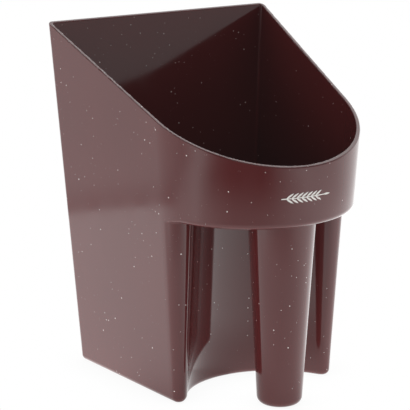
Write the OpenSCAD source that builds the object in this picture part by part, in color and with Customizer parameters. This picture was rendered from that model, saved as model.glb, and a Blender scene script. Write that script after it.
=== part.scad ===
// Feed scoop: a drafted bowl with a sloping mouth and a tapered grip that hangs
// from a collar, inside a recess for the hand.
// +Z is up and the collar faces -Y. The origin is on the ground, at the centre
// of the box around the scoop. The scoop is one moulding, split here where one
// wall ends and the next begins, so every region meets its neighbours face to face.

/* [Bowl] */
// Height of the back wall, which is the overall height
overall_h = 220; // [200:1:235]
// Height of the rim at the front of the collar
front_h = 153.5; // [146:0.5:170]
// Width across the back of the base
base_w = 131; // [128:0.1:132]
// Depth of the base, from the back wall to the front of the collar's arc
base_d = 154.5; // [152:0.1:157]
// Angle by which each side wall turns inward towards the front
side_toe = 4.5; // [3.5:0.1:5.5]
// Draft angle of the outer walls
draft = 3.55; // [3:0.05:4]
// Wall thickness
wall = 2.4; // [2:0.1:2.8]
// Radius of the two upright corners at the back
corner_r = 4; // [3:0.25:5]

/* [Collar and hand recess] */
// Height of the collar's lower edge
collar_z = 116.3; // [110:0.1:124]
// Radius of the recess wall at the base
recess_r = 55.9; // [55:0.1:57]
// Distance from the back wall to the centre of the recess
recess_set = 133.3; // [132:0.1:135]
// Radius at the base of the nose that ends each side wall
nose_r = 4.5; // [4:0.5:5]
// Angle by which each nose widens as it rises
nose_draft = 2.55; // [2.2:0.05:2.9]

/* [Grip] */
// Distance from the back wall to the grip's axis
grip_set = 135.6; // [134:0.1:137]
// Diameter of the grip at its lower end
grip_d = 27.3; // [25:0.1:29]
// Angle by which the grip widens as it rises
grip_draft = 3.45; // [3:0.05:3.8]
// Rounding of the grip's lower edge
grip_round = 4.5; // [3:0.5:6]

/* [Printed mark] */
// Length of the printed ear of barley, from stalk to tip
mark_len = 34; // [30:1:40]
// Pairs of grains in the ear
grain_pairs = 7; // [5:1:7]
// Height of the mark's middle above the ground
mark_z = 135; // [132:0.5:138]
// Thickness of the ink
ink_t = 0.12; // [0.1:0.02:0.2]

/* [Hidden] */
$fn = 180;
plastic = [0.30, 0.13, 0.14];
ink = [0.93, 0.92, 0.90];
big = 500;
// How far a cutting shape runs past what it cuts
clear = 1;
// Angle by which a sector laps over the one beside it, so that no gap is left between
lap = 0.4;

// Spread of the outer walls for each millimetre of height
spread = tan(draft);
// Radius at the base of the round front, which both side walls touch
front_r = (base_w / 2 * cos(side_toe) - base_d * sin(side_toe)) / (1 - sin(side_toe));
// Distance from the back wall to the axis of the round front
axis_set = base_d - front_r;
// The places of the box's front and back put the origin at its centre
front_reach = base_d + spread * front_h;
back_y = (front_reach - spread * overall_h) / 2;
rim_back_y = back_y + spread * overall_h;
rim_front_y = back_y - front_reach;
rim_tilt = atan((overall_h - front_h) / (rim_back_y - rim_front_y));
axis_y = back_y - axis_set;
recess_y = back_y - recess_set;
grip_y = back_y - grip_set;

// Each nose touches the round front from inside and the recess from outside, so its
// centre is the corner of a triangle whose other corners are those two centres
nose_arm = front_r - nose_r;
recess_arm = recess_r + nose_r;
axis_gap = axis_y - recess_y;
nose_turn = acos((axis_gap * axis_gap + nose_arm * nose_arm - recess_arm * recess_arm)
    / (2 * axis_gap * nose_arm)) - 90;
nose_x = nose_arm * cos(nose_turn);
nose_y = axis_y + nose_arm * sin(nose_turn);
// The nose widens less than the outer walls spread, so its axis leans outward, and the
// recess narrows by what is left over
nose_growth = tan(nose_draft);
nose_lean = spread - nose_growth;
seam_turn = atan2(nose_y - recess_y, nose_x);
recess_growth = nose_lean * cos(seam_turn - nose_turn) - nose_growth;
grip_growth = tan(grip_draft);
grip_top_r = grip_d / 2 + grip_growth * collar_z;
// The grip's closed end is a little thicker than the walls, and its corner is bevelled
grip_floor = wall + 1;
grip_bevel = 2;

// Sizes of the ear of barley
stalk_w = 0.6;
grain_len = mark_len / 6;
grain_w = 1.15;
grain_turn = 33;
grain_step = (mark_len - 2 * grain_len) / grain_pairs;

// ---- Helpers ----

// Everything inside a wall's outer plane, moved in by inset. The plane stands dist from
// the front axis, faces the direction turn and leans outward by the draft angle.
module inside_plane(turn, dist, inset) {
    translate([0, axis_y, 0])
        rotate([0, 0, turn])
            translate([dist - inset, 0, 0])
                rotate([0, draft, 0])
                    translate([-big, -big / 2, -big / 2])
                        cube(big);
}

// A round solid standing on the ground at [0, y] whose radius grows with height
module frustum(y, r, growth, h) {
    translate([0, y, 0])
        cylinder(h = h, r1 = r, r2 = r + growth * h);
}

// Everything between two heights
module layer(z0, z1) {
    translate([-big / 2, -big / 2, z0])
        cube([big, big, z1 - z0]);
}

// Everything below the sloping rim
module below_rim() {
    translate([0, rim_back_y, overall_h])
        rotate([rim_tilt, 0, 0])
            translate([-big / 2, -big, -big])
                cube([big, 2 * big, big]);
}

// Upright wedge with its edge at [x, y], between the directions from and to
module sector(x, y, from, to) {
    translate([x, y, -clear])
        linear_extrude(overall_h + 2 * clear)
            polygon([[0, 0], for (i = [0:3]) big * [cos(from + (to - from) * i / 3),
                sin(from + (to - from) * i / 3)]]);
}

// The part of the bowl behind the noses, which the side walls and the recess close
module behind_noses() {
    far = big * [cos(nose_turn), sin(nose_turn)];
    nose = [nose_x, nose_y];
    translate([0, 0, -clear])
        linear_extrude(overall_h + 2 * clear)
            polygon([
                [0, recess_y], nose, nose + far, [far[0], big], [-far[0], big],
                [-nose[0] - far[0], nose[1] + far[1]], [-nose[0], nose[1]]
            ]);
}

// What the rounding takes off one upright corner at the back. The corner leans with its
// two walls, so the trim is drawn square to the edge and then leaned the same way.
module corner_trim() {
    side = [cos(side_toe) * cos(draft), -sin(side_toe) * cos(draft), -sin(draft)];
    rear = [0, cos(draft), -sin(draft)];
    edge = cross(side, rear);
    lean = acos(edge[2] / norm(edge));
    turn = atan2(edge[1], edge[0]);
    across = [cos(lean) * cos(turn), cos(lean) * sin(turn), -sin(lean)];
    along = [-sin(turn), cos(turn), 0];
    side_2d = [side * across, side * along];
    rear_2d = [rear * across, rear * along];
    centre = -corner_r / (1 + side * rear) * (side_2d + rear_2d);
    reach = corner_r + clear;
    translate([base_w / 2, back_y, 0])
        rotate([0, lean, turn])
            translate([0, 0, -big / 2])
                linear_extrude(big)
                    difference() {
                        polygon([
                            centre, centre + reach * side_2d, side_2d + rear_2d,
                            centre + reach * rear_2d
                        ]);
                        translate(centre)
                            circle(corner_r);
                    }
}

// The drafted D of the bowl, moved in by inset, before the recess is taken out
module bowl_solid(inset) {
    frustum(axis_y, front_r - inset, spread, overall_h);
    for (side = [0, 1])
        mirror([side, 0, 0])
            intersection() {
                inside_plane(-side_toe, front_r, inset);
                inside_plane(90, axis_set, inset);
                sector(0, axis_y, -side_toe, 90);
            }
}

// The round front edge of a nose, moved in by inset
module nose_cone(inset) {
    top = collar_z + wall + clear;
    translate([nose_x, nose_y, 0])
        rotate([0, 0, nose_turn])
            rotate([0, atan(nose_lean), 0])
                translate([0, 0, -clear])
                    cylinder(
                        h = top + clear,
                        r1 = nose_r - inset - nose_growth * clear,
                        r2 = nose_r - inset + nose_growth * top
                    );
}

// The hollow below the collar, between the walls, the noses and the recess
module lower_hollow() {
    difference() {
        intersection() {
            bowl_solid(wall);
            behind_noses();
        }
        frustum(recess_y, recess_r + wall, recess_growth, overall_h);
    }
    for (side = [0, 1])
        mirror([side, 0, 0])
            nose_cone(wall);
}

// ---- Regions of the moulding ----

module base_floor() {
    color(plastic)
        intersection() {
            lower_hollow();
            layer(0, wall);
        }
}

module back_wall() {
    color(plastic)
        difference() {
            intersection() {
                inside_plane(90, axis_set, 0);
                inside_plane(-side_toe, front_r, 0);
                mirror([1, 0, 0])
                    inside_plane(-side_toe, front_r, 0);
                layer(0, overall_h);
                below_rim();
            }
            inside_plane(90, axis_set, wall);
            for (side = [0, 1])
                mirror([side, 0, 0])
                    corner_trim();
        }
}

module right_side_wall() {
    color(plastic)
        difference() {
            intersection() {
                inside_plane(-side_toe, front_r, 0);
                inside_plane(90, axis_set, wall);
                sector(0, axis_y, -side_toe, 90);
                layer(0, overall_h);
                below_rim();
            }
            inside_plane(-side_toe, front_r, wall);
            corner_trim();
        }
}

module left_side_wall() {
    mirror([1, 0, 0])
        right_side_wall();
}

module front_collar() {
    color(plastic)
        intersection() {
            difference() {
                frustum(axis_y, front_r, spread, overall_h);
                frustum(axis_y, front_r - wall, spread, overall_h);
            }
            sector(0, axis_y, -side_toe, -180 + side_toe);
            layer(collar_z, overall_h);
            below_rim();
        }
}

module grip_shelf() {
    color(plastic)
        difference() {
            intersection() {
                union() {
                    difference() {
                        frustum(axis_y, front_r - wall, spread, overall_h);
                        behind_noses();
                    }
                    intersection() {
                        frustum(recess_y, recess_r + wall, recess_growth, overall_h);
                        sector(0, recess_y, seam_turn - lap, 180 - seam_turn + lap);
                    }
                }
                layer(collar_z, collar_z + wall);
            }
            for (side = [0, 1])
                mirror([side, 0, 0])
                    nose_cone(wall);
            frustum(grip_y, grip_d / 2 - wall, grip_growth, overall_h);
        }
}

module hand_recess_wall() {
    color(plastic)
        intersection() {
            difference() {
                frustum(recess_y, recess_r + wall, recess_growth, overall_h);
                frustum(recess_y, recess_r, recess_growth, overall_h);
            }
            sector(0, recess_y, seam_turn, 180 - seam_turn);
            layer(0, collar_z);
        }
}

module right_nose() {
    color(plastic)
        intersection() {
            union() {
                intersection() {
                    difference() {
                        frustum(axis_y, front_r, spread, overall_h);
                        frustum(axis_y, front_r - wall, spread, overall_h);
                    }
                    sector(0, axis_y, nose_turn - lap, -side_toe);
                }
                intersection() {
                    difference() {
                        nose_cone(0);
                        nose_cone(wall);
                    }
                    sector(nose_x, nose_y, nose_turn, -180 + seam_turn);
                }
            }
            layer(0, collar_z);
        }
}

module left_nose() {
    mirror([1, 0, 0])
        right_nose();
}

// Hollow, open at the top and closed by a rounded end
module hanging_grip() {
    r = grip_d / 2;
    inner = r - wall;
    color(plastic)
        translate([0, grip_y, 0])
            rotate_extrude()
                difference() {
                    union() {
                        polygon([
                            [0, 0], [r - grip_round, 0], [r - grip_round, grip_round],
                            [r, grip_round], [grip_top_r, collar_z], [0, collar_z]
                        ]);
                        translate([r - grip_round, grip_round])
                            circle(grip_round);
                    }
                    polygon([
                        [0, grip_floor], [inner - grip_bevel, grip_floor],
                        [inner, grip_floor + grip_bevel],
                        [grip_top_r - wall, collar_z], [0, collar_z]
                    ]);
                }
}

// One grain: the overlap of two circles, pointing along +X from the origin
module grain(length, width) {
    r = (length * length + width * width) / (4 * width);
    intersection_for (side = [-1, 1])
        translate([length / 2, side * (r - width / 2)])
            circle(r);
}

// An ear of barley lying along X, seen from the front. Its grains grow in pairs from the
// stalk, and one more ends it.
module barley_ear() {
    translate([-mark_len / 2, -stalk_w / 2])
        square([mark_len - grain_len / 2, stalk_w]);
    for (i = [0:grain_pairs - 1], side = [-1, 1])
        translate([i * grain_step - mark_len / 2 + grain_len / 2, 0])
            rotate(side * grain_turn)
                grain(grain_len, grain_w);
    translate([mark_len / 2 - grain_len, 0])
        grain(grain_len, grain_w);
}

module printed_mark() {
    color(ink)
        intersection() {
            difference() {
                frustum(axis_y, front_r + ink_t, spread, overall_h);
                frustum(axis_y, front_r, spread, overall_h);
            }
            translate([0, axis_y, mark_z])
                rotate([90, 0, 0])
                    linear_extrude(big)
                        barley_ear();
        }
}

base_floor();
back_wall();
left_side_wall();
right_side_wall();
front_collar();
grip_shelf();
hand_recess_wall();
left_nose();
right_nose();
hanging_grip();
printed_mark();
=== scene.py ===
"""Looks of the feed scoop: one glossy burgundy moulding with sparse glitter and a printed mark.

The moulding is drawn as a signed distance with real fillets, meshed on a grid, pulled onto
the exact surface and cut into one closed piece for each CAD region."""

import math

import bmesh
import bpy
import numpy as np
from mathutils import Matrix, Vector


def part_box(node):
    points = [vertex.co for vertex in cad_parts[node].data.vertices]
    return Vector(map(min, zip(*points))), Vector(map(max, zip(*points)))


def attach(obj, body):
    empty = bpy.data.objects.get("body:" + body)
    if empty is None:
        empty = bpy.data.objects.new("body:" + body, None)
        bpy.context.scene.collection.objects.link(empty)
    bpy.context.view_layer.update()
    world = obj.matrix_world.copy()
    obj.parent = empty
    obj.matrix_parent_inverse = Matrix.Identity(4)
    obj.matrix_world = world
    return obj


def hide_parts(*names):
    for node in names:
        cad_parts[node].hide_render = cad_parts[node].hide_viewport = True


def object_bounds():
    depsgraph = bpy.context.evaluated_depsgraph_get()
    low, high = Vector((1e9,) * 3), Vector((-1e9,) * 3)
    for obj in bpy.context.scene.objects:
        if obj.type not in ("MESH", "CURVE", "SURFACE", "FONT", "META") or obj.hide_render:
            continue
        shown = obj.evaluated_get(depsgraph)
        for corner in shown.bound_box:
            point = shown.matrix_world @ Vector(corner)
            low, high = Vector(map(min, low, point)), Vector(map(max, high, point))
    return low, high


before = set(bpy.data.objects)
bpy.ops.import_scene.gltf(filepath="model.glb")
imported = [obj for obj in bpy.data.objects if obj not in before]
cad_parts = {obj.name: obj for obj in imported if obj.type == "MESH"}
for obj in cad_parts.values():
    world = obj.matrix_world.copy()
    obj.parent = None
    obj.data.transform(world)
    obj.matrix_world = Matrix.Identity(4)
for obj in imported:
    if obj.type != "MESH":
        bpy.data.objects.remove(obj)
cad_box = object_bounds()

MM = 0.001
BIG = 260.0


# ---- Sizes, in millimetres ----


def box_mm(name):
    """Lowest and highest corner of a CAD node in millimetres."""
    low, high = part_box(name)
    return np.array(low) / MM, np.array(high) / MM


# Angles and radii of the part
DRAFT = math.radians(3.55)
TOE = math.radians(4.5)
BASE_W = 131.0
BASE_D = 154.5
CORNER_R = 4.0
RECESS_R = 55.9
RECESS_SET = 133.3
NOSE_R = 4.5
NOSE_DRAFT = math.radians(2.55)
GRIP_SET = 135.6
GRIP_D = 27.3
GRIP_DRAFT = math.radians(3.45)
GRIP_ROUND = 4.5

# Fillets that only the finished look has
RIM_ROUND = 0.5
BASE_ROUND = 3.4
COLLAR_ROUND = 3.2
INSIDE_ROUND = 1.5
SHELF_ROUND = 1.2
GRIP_FLOOR_ROUND = 3.0

# The side of each nose that faces the recess has FLANK_SHARE times the radius of its tip,
# from where the nose faces FLANK_TURN inward of straight ahead
FLANK_SHARE = 2.5
FLANK_TURN = math.radians(35)
FLANK = np.array([math.sin(FLANK_TURN), math.cos(FLANK_TURN)])

TOP_Z = cad_box[1].z / MM
WALL = box_mm("base_floor")[1][2]
COLLAR_Z = box_mm("front_collar")[0][2]
RIM_BACK_Y = box_mm("back_wall")[1][1]
RIM_FRONT_Y = box_mm("front_collar")[0][1]

SPREAD = math.tan(DRAFT)
BACK_Y = RIM_BACK_Y - SPREAD * TOP_Z
FRONT_R = (BASE_W / 2 * math.cos(TOE) - BASE_D * math.sin(TOE)) / (1 - math.sin(TOE))
AXIS_Y = BACK_Y - BASE_D + FRONT_R
FRONT_H = (AXIS_Y - FRONT_R - RIM_FRONT_Y) / SPREAD
RIM_SLOPE = (TOP_Z - FRONT_H) / (RIM_BACK_Y - RIM_FRONT_Y)
RIM_TILT = math.atan(RIM_SLOPE)
RECESS_Y = BACK_Y - RECESS_SET
GRIP_Y = BACK_Y - GRIP_SET

# A nose touches the round front and the recess, so two of its triangle's corners are theirs
NOSE_ARM = FRONT_R - NOSE_R
AXIS_GAP = AXIS_Y - RECESS_Y
NOSE_TURN = math.acos(
    (AXIS_GAP**2 + NOSE_ARM**2 - (RECESS_R + NOSE_R) ** 2) / (2 * AXIS_GAP * NOSE_ARM)
) - math.pi / 2
NOSE = np.array([
    NOSE_ARM * math.cos(NOSE_TURN),
    AXIS_Y + NOSE_ARM * math.sin(NOSE_TURN),
])
NOSE_GROWTH = math.tan(NOSE_DRAFT)
NOSE_LEAN = SPREAD - NOSE_GROWTH
SEAM_TURN = math.atan2(NOSE[1] - RECESS_Y, NOSE[0])
GRIP_GROWTH = math.tan(GRIP_DRAFT)

# Heights where one piece ends and the next begins
UNDERGROUND = -5
FLOOR_CUT = 4.2
SHELF_LOW = COLLAR_Z - 1.7
SHELF_HIGH = COLLAR_Z + WALL + 1.8
WARP_FROM = COLLAR_Z + 9

# Steps of the meshing grid, and how far it reaches past the moulding
PLAN_STEP = 1.05
FILLET_STEP = 0.75
MIDDLE_ROWS = 30
BASE_FILLET_TOP = 8.6
SHELF_FILLET_FROM = COLLAR_Z - 4.2
BELOW_GROUND = 1.3
BESIDE = 1.2
BEHIND = 1.8
ABOVE_RIM = 1.2

# The eight corners of a grid cell
CELL_CORNERS = [(a, b, c) for a in (0, 1) for b in (0, 1) for c in (0, 1)]

# Where the cutters' edges lie in free space, clear of the walls. The radii are round the
# axis of the recess or the grip, and SEAM_R and SHELF_EDGE are out from the front's axis.
RECESS_CUT_R = 45
GRIP_CUT_R = 30
SEAM_R = 52
SHELF_EDGE = 48.5
SIDE_EDGE = 48
NOTCH_X = 32
NOTCH_Y = -33
BEFORE_CORNER = 0.6
ARC_POINTS = 25


# ---- Signed distance of the moulding ----


def round_max(a, b, r):
    """Where two solids overlap, with their shared edge rounded to radius r."""
    return np.minimum(np.maximum(a, b), -r) + np.hypot(
        np.maximum(a + r, 0), np.maximum(b + r, 0)
    )


def round_min(a, b, r):
    """Two solids joined, with the inner corner between them filled to radius r."""
    return -round_max(-a, -b, r)


def rim_height(y):
    """Height of the sloping rim at y."""
    return TOP_Z - (RIM_BACK_Y - y) * RIM_SLOPE


def bowl_outline(x, y, z):
    """Distance to the drafted D of the bowl; x is at least 0."""
    back = y - AXIS_Y
    radius = FRONT_R + SPREAD * z
    front = np.hypot(x, back) - radius
    side = x * math.cos(TOE) - back * math.sin(TOE) - radius
    rear = y - BACK_Y - SPREAD * z
    square = round_max(side, rear, CORNER_R)
    return np.where(back < -x * math.tan(TOE), front, square)


def lower_outline(x, y, z, outline):
    """Distance to the part of the bowl behind the noses and the recess; x is at least 0."""
    lean_x = NOSE_LEAN * math.cos(NOSE_TURN)
    lean_y = NOSE_LEAN * math.sin(NOSE_TURN)
    nose_x = NOSE[0] + lean_x * z
    nose_y = NOSE[1] + lean_y * z
    nose_r = NOSE_R + NOSE_GROWTH * z
    flank_r = FLANK_SHARE * nose_r
    flank_x = nose_x + (flank_r - nose_r) * FLANK[0]
    flank_y = nose_y + (flank_r - nose_r) * FLANK[1]
    vx = x - flank_x
    vy = y - flank_y
    ahead = math.cos(NOSE_TURN) * (y - nose_y) - math.sin(NOSE_TURN) * (x - nose_x) < 0
    on_tip = FLANK[0] * vy - FLANK[1] * vx < 0
    on_nose = -flank_x * vy - (RECESS_Y - flank_y) * vx > 0
    tip = np.hypot(x - nose_x, y - nose_y) - nose_r
    flank = np.hypot(vx, vy) - flank_r
    recess_r = np.hypot(flank_x, flank_y - RECESS_Y) - flank_r
    recess = recess_r - np.hypot(x, y - RECESS_Y)
    beside = np.where(on_nose, flank, np.maximum(outline, recess))
    return np.where(on_tip, np.where(ahead, tip, outline), beside)


def faded(radius, gap):
    """A fillet radius that dies away where the two surfaces run into one."""
    return radius * np.clip(gap / (2 * radius), 0, 1)


def moulding(points):
    """Signed distance in millimetres, negative in the plastic, for rows of x, y, z."""
    x = np.abs(points[:, 0])
    y = points[:, 1]
    z = points[:, 2]
    outline = bowl_outline(x, y, z)
    lower = lower_outline(x, y, z, outline)
    gap = lower - outline

    below = round_min(lower, COLLAR_Z - z, SHELF_ROUND)
    body = round_max(outline, below, faded(COLLAR_ROUND, gap))
    body = round_max(body, -z, BASE_ROUND)
    above_shelf = round_min(lower + WALL, COLLAR_Z + WALL - z, SHELF_ROUND)
    hollow = round_max(outline + WALL, above_shelf, faded(INSIDE_ROUND, gap))
    hollow = round_max(hollow, WALL - z, INSIDE_ROUND)

    grip = np.hypot(x, y - GRIP_Y) - GRIP_D / 2 - GRIP_GROWTH * z
    stem = round_max(grip, -z, GRIP_ROUND)
    stem = np.maximum(stem, z - COLLAR_Z - WALL / 2)
    body = round_min(body, stem, SHELF_ROUND)
    bore = round_max(grip + WALL, WALL + 1 - z, GRIP_FLOOR_ROUND)
    bore = np.maximum(bore, z - COLLAR_Z - WALL - 2)
    hollow = round_min(hollow, bore, SHELF_ROUND)

    shell = np.maximum(body, -hollow)
    rim = (z - rim_height(y)) * math.cos(RIM_TILT)
    return round_max(shell, rim, RIM_ROUND)


def gradient(points):
    """Unit outward direction and steepness of the distance at each point."""
    step = 0.02
    slopes = []
    for axis in range(3):
        shift = np.zeros(3)
        shift[axis] = step
        slopes.append((moulding(points + shift) - moulding(points - shift)) / (2 * step))
    slope = np.stack(slopes, axis=1)
    steep = np.maximum(np.linalg.norm(slope, axis=1), 0.2)
    return slope / steep[:, None], steep


# ---- Meshing ----


def heights():
    """Grid heights below the warp, close together wherever a fillet lies."""
    base = np.arange(-BELOW_GROUND, BASE_FILLET_TOP, FILLET_STEP)
    middle = np.linspace(BASE_FILLET_TOP, COLLAR_Z - 5, MIDDLE_ROWS)
    shelf = np.arange(SHELF_FILLET_FROM, WARP_FROM, FILLET_STEP)
    return np.concatenate([base, middle, shelf])


def warp_shares():
    """Grid places from the start of the warp (0) to just above the rim (1), finest there."""
    steps = [0.008] * 6 + [0.011, 0.015, 0.02, 0.025, 0.03]
    while sum(steps) < 1:
        steps.append(0.036)
    return (1 - np.cumsum([0] + steps[:-1]))[::-1]


def grid():
    """Places of the grid lines: x, y and, for each y, z."""
    half = cad_box[1].x / MM + BESIDE
    reach = cad_box[1].y / MM + BEHIND
    xs = np.arange(-half, half + 1, PLAN_STEP)
    ys = np.arange(-reach, reach + 1, PLAN_STEP)
    low = np.broadcast_to(heights(), (len(ys), len(heights())))
    top = rim_height(ys) + ABOVE_RIM
    high = WARP_FROM + (top - WARP_FROM)[:, None] * warp_shares()
    return xs, ys, np.concatenate([low, high], axis=1)


def grid_distances(xs, ys, zs):
    """Distance to the moulding at every grid point."""
    values = np.empty((len(xs), len(ys), zs.shape[1]))
    for i, x in enumerate(xs):
        points = np.empty((zs.size, 3))
        points[:, 0] = x
        points[:, 1] = np.repeat(ys, zs.shape[1])
        points[:, 2] = zs.ravel()
        values[i] = moulding(points).reshape(zs.shape)
    return values


def crossed_cells(solid):
    """The grid cells that the surface passes through."""
    count = np.zeros([n - 1 for n in solid.shape], int)
    for corner in CELL_CORNERS:
        window = tuple(slice(start, start + n - 1) for start, n in zip(corner, solid.shape))
        count += solid[window]
    return np.argwhere((count > 0) & (count < 8))


def cell_vertices(cells, xs, ys, zs, values):
    """For each cell, the middle of the places where its edges cross the surface."""
    places = []
    depths = []
    for corner in CELL_CORNERS:
        i, j, k = (cells + corner).T
        places.append(np.stack([xs[i], ys[j], zs[j, k]], axis=1))
        depths.append(values[i, j, k])
    total = np.zeros((len(cells), 3))
    crossings = np.zeros(len(cells))
    for a in range(8):
        for b in range(a + 1, 8):
            if sum(p != q for p, q in zip(CELL_CORNERS[a], CELL_CORNERS[b])) > 1:
                continue
            crosses = (depths[a] < 0) != (depths[b] < 0)
            share = np.where(crosses, depths[a] / (depths[a] - depths[b] + 1e-30), 0)
            middle = places[a] + (places[b] - places[a]) * share[:, None]
            total += np.where(crosses[:, None], middle, 0)
            crossings += crosses
    return total / crossings[:, None]


def cell_quads(solid, number):
    """A quad between the four cells round each grid edge that crosses the surface."""
    quads = []
    for axis in range(3):
        u, v = [n for n in range(3) if n != axis]
        first = [slice(None)] * 3
        second = [slice(None)] * 3
        first[axis] = slice(0, -1)
        second[axis] = slice(1, None)
        edges = np.argwhere(solid[tuple(first)] != solid[tuple(second)])
        inside_first = solid[tuple(first)][tuple(edges.T)]
        ring = []
        for du, dv in ((1, 1), (0, 1), (0, 0), (1, 0)):
            cell = edges.copy()
            cell[:, u] -= du
            cell[:, v] -= dv
            ring.append(number[tuple(cell.T)])
        quad = np.stack(ring, axis=1)
        flip = inside_first if axis == 1 else ~inside_first
        quad[flip] = quad[flip][:, ::-1]
        quads.append(quad)
    return np.concatenate(quads)


def surface_net(xs, ys, zs):
    """The moulding's surface: one vertex in each crossed cell, joined by quads."""
    values = grid_distances(xs, ys, zs)
    solid = values < 0
    cells = crossed_cells(solid)
    number = np.full([n - 1 for n in solid.shape], -1)
    number[tuple(cells.T)] = np.arange(len(cells))
    return cell_vertices(cells, xs, ys, zs, values), cell_quads(solid, number)


def settle(vertices):
    """Moves each vertex along the gradient until it lies on the surface."""
    for _ in range(5):
        away = moulding(vertices)
        outward, steep = gradient(vertices)
        vertices = vertices - outward * np.clip(away / steep, -0.5, 0.5)[:, None]
    return vertices


def mesh_object(name, vertices, faces):
    """A mesh object from coordinates in millimetres."""
    mesh = bpy.data.meshes.new(name)
    mesh.from_pydata((np.asarray(vertices) * MM).tolist(), [], faces)
    mesh.update()
    obj = bpy.data.objects.new(name, mesh)
    bpy.context.scene.collection.objects.link(obj)
    return obj


# ---- Cutting into the part's regions ----


def direction(angle):
    """Unit plan direction at an angle from +X."""
    return np.array([math.cos(angle), math.sin(angle)])


def prism(outline, low, high, lean=None):
    """Closed cutter on a plan outline. lean gives the corners that follow the back wall."""
    count = len(outline)
    rows = []
    for z in (low, high):
        for i, (x, y) in enumerate(outline):
            shift = SPREAD * z if lean and i in lean else 0
            rows.append([x, y + shift, z])
    faces = [list(range(count))[::-1], list(range(count, 2 * count))]
    for i in range(count):
        j = (i + 1) % count
        faces.append([i, j, count + j, count + i])
    return mesh_object("cutter", rows, faces)


def mirrored(outline):
    """The same outline on the other side, still anticlockwise."""
    return [(-x, y) for x, y in outline][::-1]


def arc(radius, start, end):
    """Points round the recess's axis."""
    turns = np.linspace(start, end, ARC_POINTS)
    return [tuple(np.array([0, RECESS_Y]) + radius * direction(t)) for t in turns]


def plan_outlines():
    """Plan outlines of the regions, anticlockwise, and their heights."""
    seam = np.array([0, AXIS_Y]) + SEAM_R * direction(-TOE)
    far = np.array([0, AXIS_Y]) + BIG * direction(-TOE)
    inner = np.array([0, RECESS_Y]) + RECESS_CUT_R * direction(SEAM_TURN)
    corner = BACK_Y - CORNER_R - BEFORE_CORNER
    side = [tuple(seam), tuple(far), (BIG, corner), (SIDE_EDGE, corner)]
    nose = [tuple(NOSE), tuple(inner), (RECESS_CUT_R, -BIG), (BIG, -BIG), tuple(far), tuple(seam)]
    recess = (
        arc(RECESS_R + NOSE_R, SEAM_TURN, math.pi - SEAM_TURN)
        + arc(RECESS_CUT_R, math.pi - SEAM_TURN, SEAM_TURN)
    )
    across = SHELF_EDGE * math.cos(TOE)
    along = AXIS_Y - SHELF_EDGE * math.sin(TOE) - RECESS_Y
    band_turn = math.atan2(along, across)
    front = [(-far[0], far[1]), (-BIG, -BIG), (BIG, -BIG), tuple(far)]
    band = arc(math.hypot(across, along), band_turn, math.pi - band_turn) + front
    collar = [(0, AXIS_Y)] + front
    grip = [tuple(np.array([0, GRIP_Y]) + GRIP_CUT_R * direction(t * math.pi / 8))
            for t in range(16)]
    notch = [(-NOTCH_X, -BIG), (-NOTCH_X, NOTCH_Y), (NOTCH_X, NOTCH_Y), (NOTCH_X, -BIG)]
    base = [(-BIG, BIG), (-BIG, -BIG)] + notch + [(BIG, -BIG), (BIG, BIG)]
    back = [(-BIG, corner), (BIG, corner), (BIG, BIG), (-BIG, BIG)]
    return {
        "base_floor": (base, UNDERGROUND, FLOOR_CUT, None),
        "back_wall": (back, FLOOR_CUT, BIG, (0, 1)),
        "right_side_wall": (side, FLOOR_CUT, BIG, (2, 3)),
        "left_side_wall": (mirrored(side), FLOOR_CUT, BIG, (0, 1)),
        "front_collar": (collar, SHELF_HIGH, BIG, None),
        "grip_shelf": (band, SHELF_LOW, SHELF_HIGH, None),
        "hand_recess_wall": (recess, FLOOR_CUT, SHELF_LOW, None),
        "right_nose": (nose, FLOOR_CUT, SHELF_LOW, None),
        "left_nose": (mirrored(nose), FLOOR_CUT, SHELF_LOW, None),
        "hanging_grip": (grip, UNDERGROUND, SHELF_LOW, None),
    }


def split_many_sided(mesh):
    """Splits the many-sided faces that a cut leaves, so that no two share a sliver."""
    work = bmesh.new()
    work.from_mesh(mesh)
    many_sided = [face for face in work.faces if len(face.verts) > 4]
    bmesh.ops.triangulate(work, faces=many_sided, ngon_method="BEAUTY")
    work.to_mesh(mesh)
    work.free()


def cut_piece(whole, name, outline, low, high, lean):
    """The part of the moulding inside one cutter, as a closed mesh of its own."""
    cutter = prism(outline, low, high, lean)
    piece = bpy.data.objects.new(name + "_shell", whole.data.copy())
    bpy.context.scene.collection.objects.link(piece)
    cut = piece.modifiers.new("cut", "BOOLEAN")
    cut.operation = "INTERSECT"
    cut.solver = "MANIFOLD"
    cut.object = cutter
    graph = bpy.context.evaluated_depsgraph_get()
    mesh = bpy.data.meshes.new_from_object(piece.evaluated_get(graph), depsgraph=graph)
    piece.modifiers.clear()
    split_many_sided(mesh)
    old = piece.data
    piece.data = mesh
    mesh.name = piece.name
    bpy.data.meshes.remove(old)
    bpy.data.objects.remove(cutter)
    return piece


def dress_normals(piece):
    """Gives the skin the exact normals of the surface and leaves the cut faces flat."""
    mesh = piece.data
    for polygon in mesh.polygons:
        polygon.use_smooth = True
    points = np.empty(len(mesh.vertices) * 3)
    mesh.vertices.foreach_get("co", points)
    points = points.reshape(-1, 3) / MM
    exact, _ = gradient(points)
    corner_vertex = np.empty(len(mesh.loops), int)
    mesh.loops.foreach_get("vertex_index", corner_vertex)
    face_normal = np.empty(len(mesh.polygons) * 3)
    mesh.polygons.foreach_get("normal", face_normal)
    sizes = np.empty(len(mesh.polygons), int)
    mesh.polygons.foreach_get("loop_total", sizes)
    face_normal = np.repeat(face_normal.reshape(-1, 3), sizes, axis=0)
    normals = exact[corner_vertex]
    agree = np.sum(normals * face_normal, axis=1) > 0.6
    normals = np.where(agree[:, None], normals, face_normal)
    mesh.normals_split_custom_set(normals.tolist())


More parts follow.
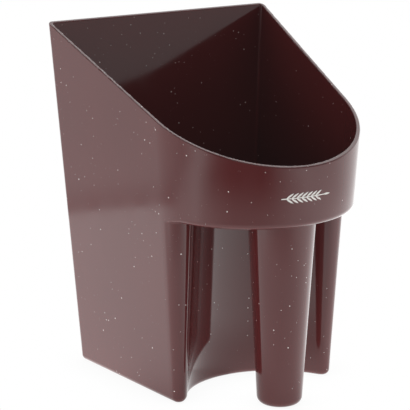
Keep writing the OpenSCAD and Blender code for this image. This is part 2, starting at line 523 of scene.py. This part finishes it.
def build_moulding(material):
    """Every region of the moulding, each standing for its CAD node."""
    vertices, quads = surface_net(*grid())
    whole = mesh_object("whole", settle(vertices), quads.tolist())
    for name, region in plan_outlines().items():
        piece = cut_piece(whole, name, *region)
        dress_normals(piece)
        piece.data.materials.clear()
        piece.data.materials.append(material)
        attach(piece, "root")
        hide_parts(name)
    bpy.data.objects.remove(whole)


# ---- Materials ----


def new_material(name):
    """A material, its node tree and its main shader."""
    material = bpy.data.materials.new(name)
    material.use_nodes = True
    tree = material.node_tree
    return material, tree, tree.nodes["Principled BSDF"]


def plug(tree, socket, value):
    """Sets an input to a value, or joins it to an output."""
    if isinstance(value, bpy.types.NodeSocket):
        tree.links.new(value, socket)
    else:
        socket.default_value = value


def node(tree, kind, settings=None, **inputs):
    """A new node; inputs are named as in Blender, with _ for each space."""
    made = tree.nodes.new(kind)
    for name, value in (settings or {}).items():
        setattr(made, name, value)
    for name, value in inputs.items():
        plug(tree, made.inputs[name.replace("_", " ")], value)
    return made


def calc(tree, operation, *values):
    """A maths node's result."""
    made = node(tree, "ShaderNodeMath", {"operation": operation})
    for socket, value in zip(made.inputs, values):
        plug(tree, socket, value)
    return made.outputs[0]


def ease(tree, value, low, high, to_low=0.0, to_high=1.0):
    """Goes smoothly from to_low to to_high while value goes from low to high."""
    made = node(
        tree,
        "ShaderNodeMapRange",
        {"interpolation_type": "SMOOTHSTEP"},
        From_Min=low,
        From_Max=high,
        To_Min=to_low,
        To_Max=to_high,
        Value=value,
    )
    return made.outputs["Result"]


def mix(tree, share, first, second):
    """Colour mix of first and second."""
    made = node(tree, "ShaderNodeMix", {"data_type": "RGBA"})
    for index, value in ((0, share), (6, first), (7, second)):
        plug(tree, made.inputs[index], value)
    return made.outputs[2]


def blend(tree, share, first, second):
    """Number mix of first and second."""
    made = node(tree, "ShaderNodeMix", {"data_type": "FLOAT"})
    for index, value in ((0, share), (2, first), (3, second)):
        plug(tree, made.inputs[index], value)
    return made.outputs[0]


def noise(tree, place, scale, detail=2.0):
    """Smooth random value from 0 to 1."""
    made = node(tree, "ShaderNodeTexNoise", Vector=place, Scale=scale, Detail=detail)
    return made.outputs["Fac"]


def flecks(tree, place, cell, smallest, largest, kept):
    """Glitter: round flecks of mixed size, one in a share of the cells; their mixed brightness is
    painted glint.
    """
    cells = node(tree, "ShaderNodeTexVoronoi", Vector=place, Scale=1 / cell)
    parts = node(tree, "ShaderNodeSeparateColor", Color=cells.outputs["Color"])
    radius = ease(tree, parts.outputs["Red"], 0, 1, smallest / cell, largest / cell)
    gap = calc(tree, "SUBTRACT", radius, cells.outputs["Distance"])
    dot = ease(tree, gap, 0, 0.15 * smallest / cell)
    crowd = ease(tree, noise(tree, place, 22), 0.38, 0.62, 0.55 * kept, 1.6 * kept)
    there = calc(tree, "LESS_THAN", parts.outputs["Green"], crowd)
    # Random brightness of each fleck: painted glint of the flakes, set into the base colour
    painted_glint = ease(tree, parts.outputs["Blue"], 0.1, 0.75, 0.2, 1.0)
    return calc(tree, "MULTIPLY", calc(tree, "MULTIPLY", dot, there), painted_glint)


def plastic_material():
    """Glossy burgundy plastic with glitter set in it, and the faint marks of moulding."""
    material, tree, shader = new_material("burgundy_plastic")
    place = tree.nodes.new("ShaderNodeTexCoord").outputs["Object"]
    cloud = ease(tree, noise(tree, place, 16, 3), 0.3, 0.7)
    tint = mix(tree, cloud, (0.090, 0.0120, 0.0128, 1), (0.098, 0.0138, 0.0142, 1))
    glitter = flecks(tree, place, 4.0 * MM, 0.18 * MM, 0.38 * MM, 0.6)
    dust_and_glint = flecks(tree, place, 2.1 * MM, 0.06 * MM, 0.13 * MM, 0.6)
    # Glitter and fine flecks lighten the base colour; their brightness is partly painted glint
    bright = calc(tree, "MAXIMUM", glitter, calc(tree, "MULTIPLY", dust_and_glint, 0.5))
    plug(tree, shader.inputs["Base Color"], mix(tree, bright, tint, (1.0, 0.9, 0.87, 1)))

    stretch = node(tree, "ShaderNodeMapping", Vector=place, Scale=(1, 1, 0.12))
    flow = noise(tree, stretch.outputs["Vector"], 60, 3)
    rough = ease(tree, flow, 0.3, 0.75, 0.07, 0.12)
    scuff = node(tree, "ShaderNodeMapping", Vector=place, Rotation=(0.4, 0.3, 0.8),
                 Scale=(1, 0.03, 1))
    scratch = ease(tree, noise(tree, scuff.outputs["Vector"], 900, 2), 0.68, 0.8, 0, 0.05)
    plug(tree, shader.inputs["Roughness"], calc(tree, "ADD", rough, scratch))
    shader.inputs["IOR"].default_value = 1.5

    swell = noise(tree, place, 30, 1)
    grain = noise(tree, place, 1400, 2)
    height = calc(tree, "MULTIPLY_ADD", grain, 0.006, swell)
    bump = node(tree, "ShaderNodeBump", Strength=1.0, Distance=0.02 * MM, Height=height)
    plug(tree, shader.inputs["Normal"], bump.outputs["Normal"])
    return material


def ink_material():
    """White printing ink: matt, a little thin in places, with tiny pinholes."""
    material, tree, shader = new_material("white_ink")
    place = tree.nodes.new("ShaderNodeTexCoord").outputs["Object"]
    thin = ease(tree, noise(tree, place, 700, 3), 0.62, 0.78)
    plug(tree, shader.inputs["Base Color"],
         mix(tree, thin, (0.86, 0.83, 0.79, 1), (0.55, 0.42, 0.41, 1)))
    plug(tree, shader.inputs["Roughness"], ease(tree, thin, 0, 1, 0.42, 0.6))
    bump = node(tree, "ShaderNodeBump", Strength=0.6, Distance=0.02 * MM,
                Height=noise(tree, place, 1800, 2))
    plug(tree, shader.inputs["Normal"], bump.outputs["Normal"])
    return material


# ---- Stage, light and camera ----

# Brightness of the studio by direction, in degrees round to the left from straight ahead
# of the collar: on the table's edge, beyond the table, and on the table itself
TABLE_EDGE = [
    (-180, 1.65), (-99, 1.70), (-40, 1.70), (-14, 1.37), (-3, 1.10), (9, 0.87),
    (20, 0.77), (42, 0.78), (53, 0.93), (64, 1.15), (73, 1.43), (82, 1.84),
    (103, 1.55), (114, 1.65), (145, 1.80), (180, 1.70),
]
BEYOND = [
    (-180, 1.30), (-128, 1.30), (-99, 1.38), (-69, 1.35), (-40, 1.55), (-27, 1.66),
    (-14, 1.20), (-3, 0.74), (9, 0.28), (18, 0.13), (45, 0.13), (53, 0.22),
    (64, 0.46), (73, 1.05), (80, 1.75), (86, 1.75), (94, 1.35), (103, 0.97),
    (114, 1.07), (138, 1.16), (180, 1.25),
]
ON_TABLE = [
    (-180, 1.70), (-110, 2.00), (-87, 2.00), (-60, 1.85), (-36, 1.70), (-11, 1.36),
    (8, 1.25), (24, 1.20), (57, 1.30), (96, 1.50), (110, 1.55), (145, 1.80), (180, 1.75),
]
OVERHEAD = 0.24
LEFT_PANEL = 2.0
RIGHT_PANEL = 2.1
FRONT_PANEL = 0.75
SOFTBOX = 2.0
SOFTBOX_TOWARD = (0.50, 0.466, 0.73)
BRIGHTEST = 2.5
VEIL = 0.0045


def ring(tree, turn, stops):
    """Brightness all round, from its stops, for a turn in degrees."""
    ramp = tree.nodes.new("ShaderNodeValToRGB")
    elements = ramp.color_ramp.elements
    while len(elements) < len(stops):
        elements.new(0.5)
    for element, (angle, light) in zip(elements, stops):
        element.position = (angle + 180) / 360
        element.color = (light / BRIGHTEST,) * 3 + (1,)
    share = calc(tree, "MULTIPLY_ADD", turn, 1 / 360, 0.5)
    plug(tree, ramp.inputs["Fac"], share)
    return calc(tree, "MULTIPLY", ramp.outputs["Color"], BRIGHTEST)


def turn_of(tree, x, y):
    """Degrees round to the left from straight ahead of the collar."""
    radians = calc(tree, "ARCTAN2", calc(tree, "MULTIPLY", x, -1),
                   calc(tree, "MULTIPLY", y, -1))
    return calc(tree, "DEGREES", radians)


def seen_directly(tree):
    """1 where the camera itself looks, 0 in reflections and for light."""
    return tree.nodes.new("ShaderNodeLightPath").outputs["Is Camera Ray"]


def table_light(tree):
    """Brightness of the table, with painted shade close to the front of the scoop."""
    where = node(tree, "ShaderNodeSeparateXYZ",
                 Vector=tree.nodes.new("ShaderNodeNewGeometry").outputs["Position"])
    x = where.outputs["X"]
    y = where.outputs["Y"]
    turn = turn_of(tree, x, y)
    far = calc(tree, "SQRT", calc(tree, "MULTIPLY_ADD", x, x, calc(tree, "MULTIPLY", y, y)))
    edge = ring(tree, turn, TABLE_EDGE)
    beyond = ring(tree, turn, BEYOND)
    ahead = calc(tree, "SUBTRACT", 1.0, ease(tree, calc(tree, "ABSOLUTE", turn), 70, 130))
    # Painted shade on the table in front of the scoop, where the scoop shelters it
    sheltered = calc(tree, "MULTIPLY", ahead, ease(tree, far, 0.04, 0.12, 0.30, 0.0))
    table = calc(tree, "MULTIPLY", ring(tree, turn, ON_TABLE),
                 calc(tree, "SUBTRACT", 1.0, sheltered))
    near = blend(tree, ease(tree, far, 0.25, 0.39), table, edge)
    soft = blend(tree, ease(tree, far, 0.385, 0.49), near, beyond)
    sharp = blend(tree, ease(tree, far, 0.396, 0.412), near,
                  calc(tree, "MULTIPLY", beyond, ease(tree, far, 0.42, 0.49, 0.78, 1.0)))
    return blend(tree, ease(tree, turn, 98, 116), soft, sharp)


def build_floor():
    """A round white table that glows with painted light. The camera sees it plain white, with a
    trace of painted shadow.
    """
    steps = 96
    reach = 0.5
    rim = [(reach * math.cos(math.tau * i / steps), reach * math.sin(math.tau * i / steps), 0)
           for i in range(steps)]
    mesh = bpy.data.meshes.new("floor")
    mesh.from_pydata(rim, [], [list(range(steps))])
    floor = bpy.data.objects.new("floor", mesh)
    bpy.context.scene.collection.objects.link(floor)
    material = bpy.data.materials.new("table_white")
    material.use_nodes = True
    tree = material.node_tree
    tree.nodes.clear()
    # Painted contact shadow: ambient occlusion dims the glow that the camera sees
    shade = node(tree, "ShaderNodeAmbientOcclusion", Distance=0.03)
    plain = ease(tree, shade.outputs["AO"], 0, 1, 0.93, 1.0)
    shown = blend(tree, seen_directly(tree), table_light(tree), plain)
    glow = node(tree, "ShaderNodeEmission", Strength=shown)
    out = tree.nodes.new("ShaderNodeOutputMaterial")
    tree.links.new(glow.outputs["Emission"], out.inputs["Surface"])
    mesh.materials.append(material)


def studio_light(tree):
    """Brightness of the studio: its walls, a panel at each side and in front, a softbox."""
    toward = tree.nodes.new("ShaderNodeTexCoord").outputs["Generated"]
    where = node(tree, "ShaderNodeSeparateXYZ", Vector=toward)
    turn = turn_of(tree, where.outputs["X"], where.outputs["Y"])
    height = where.outputs["Z"]
    walls = calc(tree, "MULTIPLY", ring(tree, turn, BEYOND),
                 blend(tree, ease(tree, turn, 90, 115),
                       ease(tree, height, -0.27, -0.12, 1.0, 0.45),
                       ease(tree, height, -0.27, 0.0, 1.0, 0.9)))
    left = calc(tree, "MULTIPLY", ease(tree, turn, 55, 85), ease(tree, turn, 150, 175, 1, 0))
    right = calc(tree, "MULTIPLY", ease(tree, turn, -85, -55, 1, 0),
                 ease(tree, turn, -175, -150))
    over = ease(tree, height, -0.02, 0.12)
    panels = blend(tree, calc(tree, "MULTIPLY", left, over), walls, LEFT_PANEL)
    panels = blend(tree, calc(tree, "MULTIPLY", right, over), panels, RIGHT_PANEL)
    ahead = calc(tree, "MULTIPLY", ease(tree, calc(tree, "ABSOLUTE", turn), 30, 60, 1, 0),
                 ease(tree, height, 0.05, 0.2))
    panels = blend(tree, ahead, panels, FRONT_PANEL)
    room = blend(tree, ease(tree, height, 0.30, 0.60), panels, OVERHEAD)
    nearness = node(tree, "ShaderNodeVectorMath", {"operation": "DOT_PRODUCT"}, Vector=toward)
    nearness.inputs[1].default_value = SOFTBOX_TOWARD
    return blend(tree, ease(tree, nearness.outputs["Value"], 0.80, 0.93), room, SOFTBOX)


def build_world():
    """The studio round the table, which the camera sees plain white."""
    world = bpy.data.worlds.new("studio")
    bpy.context.scene.world = world
    world.use_nodes = True
    tree = world.node_tree
    shown = blend(tree, seen_directly(tree), studio_light(tree), 1.0)
    plug(tree, tree.nodes["Background"].inputs["Strength"], shown)
    tree.nodes["Background"].inputs["Color"].default_value = (1, 1, 1, 1)


def build_camera():
    """The photograph's viewpoint: 31 degrees round to the left and 14 above."""
    turn = math.radians(31.168)
    rise = math.radians(14.151)
    roll = math.radians(0.305)
    back = Vector((
        -math.sin(turn) * math.cos(rise),
        -math.cos(turn) * math.cos(rise),
        math.sin(rise),
    ))
    right = Vector((math.cos(turn), -math.sin(turn), 0))
    up = back.cross(right)
    across = right * math.cos(roll) + up * math.sin(roll)
    upward = up * math.cos(roll) - right * math.sin(roll)
    target = Vector((-13.373, 6.471, 111.158)) * MM
    place = target + back * 1353.28 * MM
    data = bpy.data.cameras.new("camera")
    data.sensor_width = 36
    data.lens = 191.23
    data.clip_start = 0.05
    camera = bpy.data.objects.new("camera", data)
    turned = Matrix((across, upward, back)).transposed().to_4x4()
    camera.matrix_world = Matrix.Translation(place) @ turned
    bpy.context.scene.collection.objects.link(camera)
    bpy.context.scene.camera = camera


def lens_veil():
    """The faint haze a lens adds to dark places in front of a white background."""
    settings = bpy.context.scene.view_settings
    settings.use_curve_mapping = True
    settings.curve_mapping.black_level = (-VEIL, -VEIL, -VEIL)
    settings.curve_mapping.update()


build_moulding(plastic_material())
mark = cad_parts["printed_mark"]
mark.data.materials.clear()
mark.data.materials.append(ink_material())
build_floor()
build_world()
build_camera()
bpy.context.scene.view_settings.view_transform = "Standard"
lens_veil()
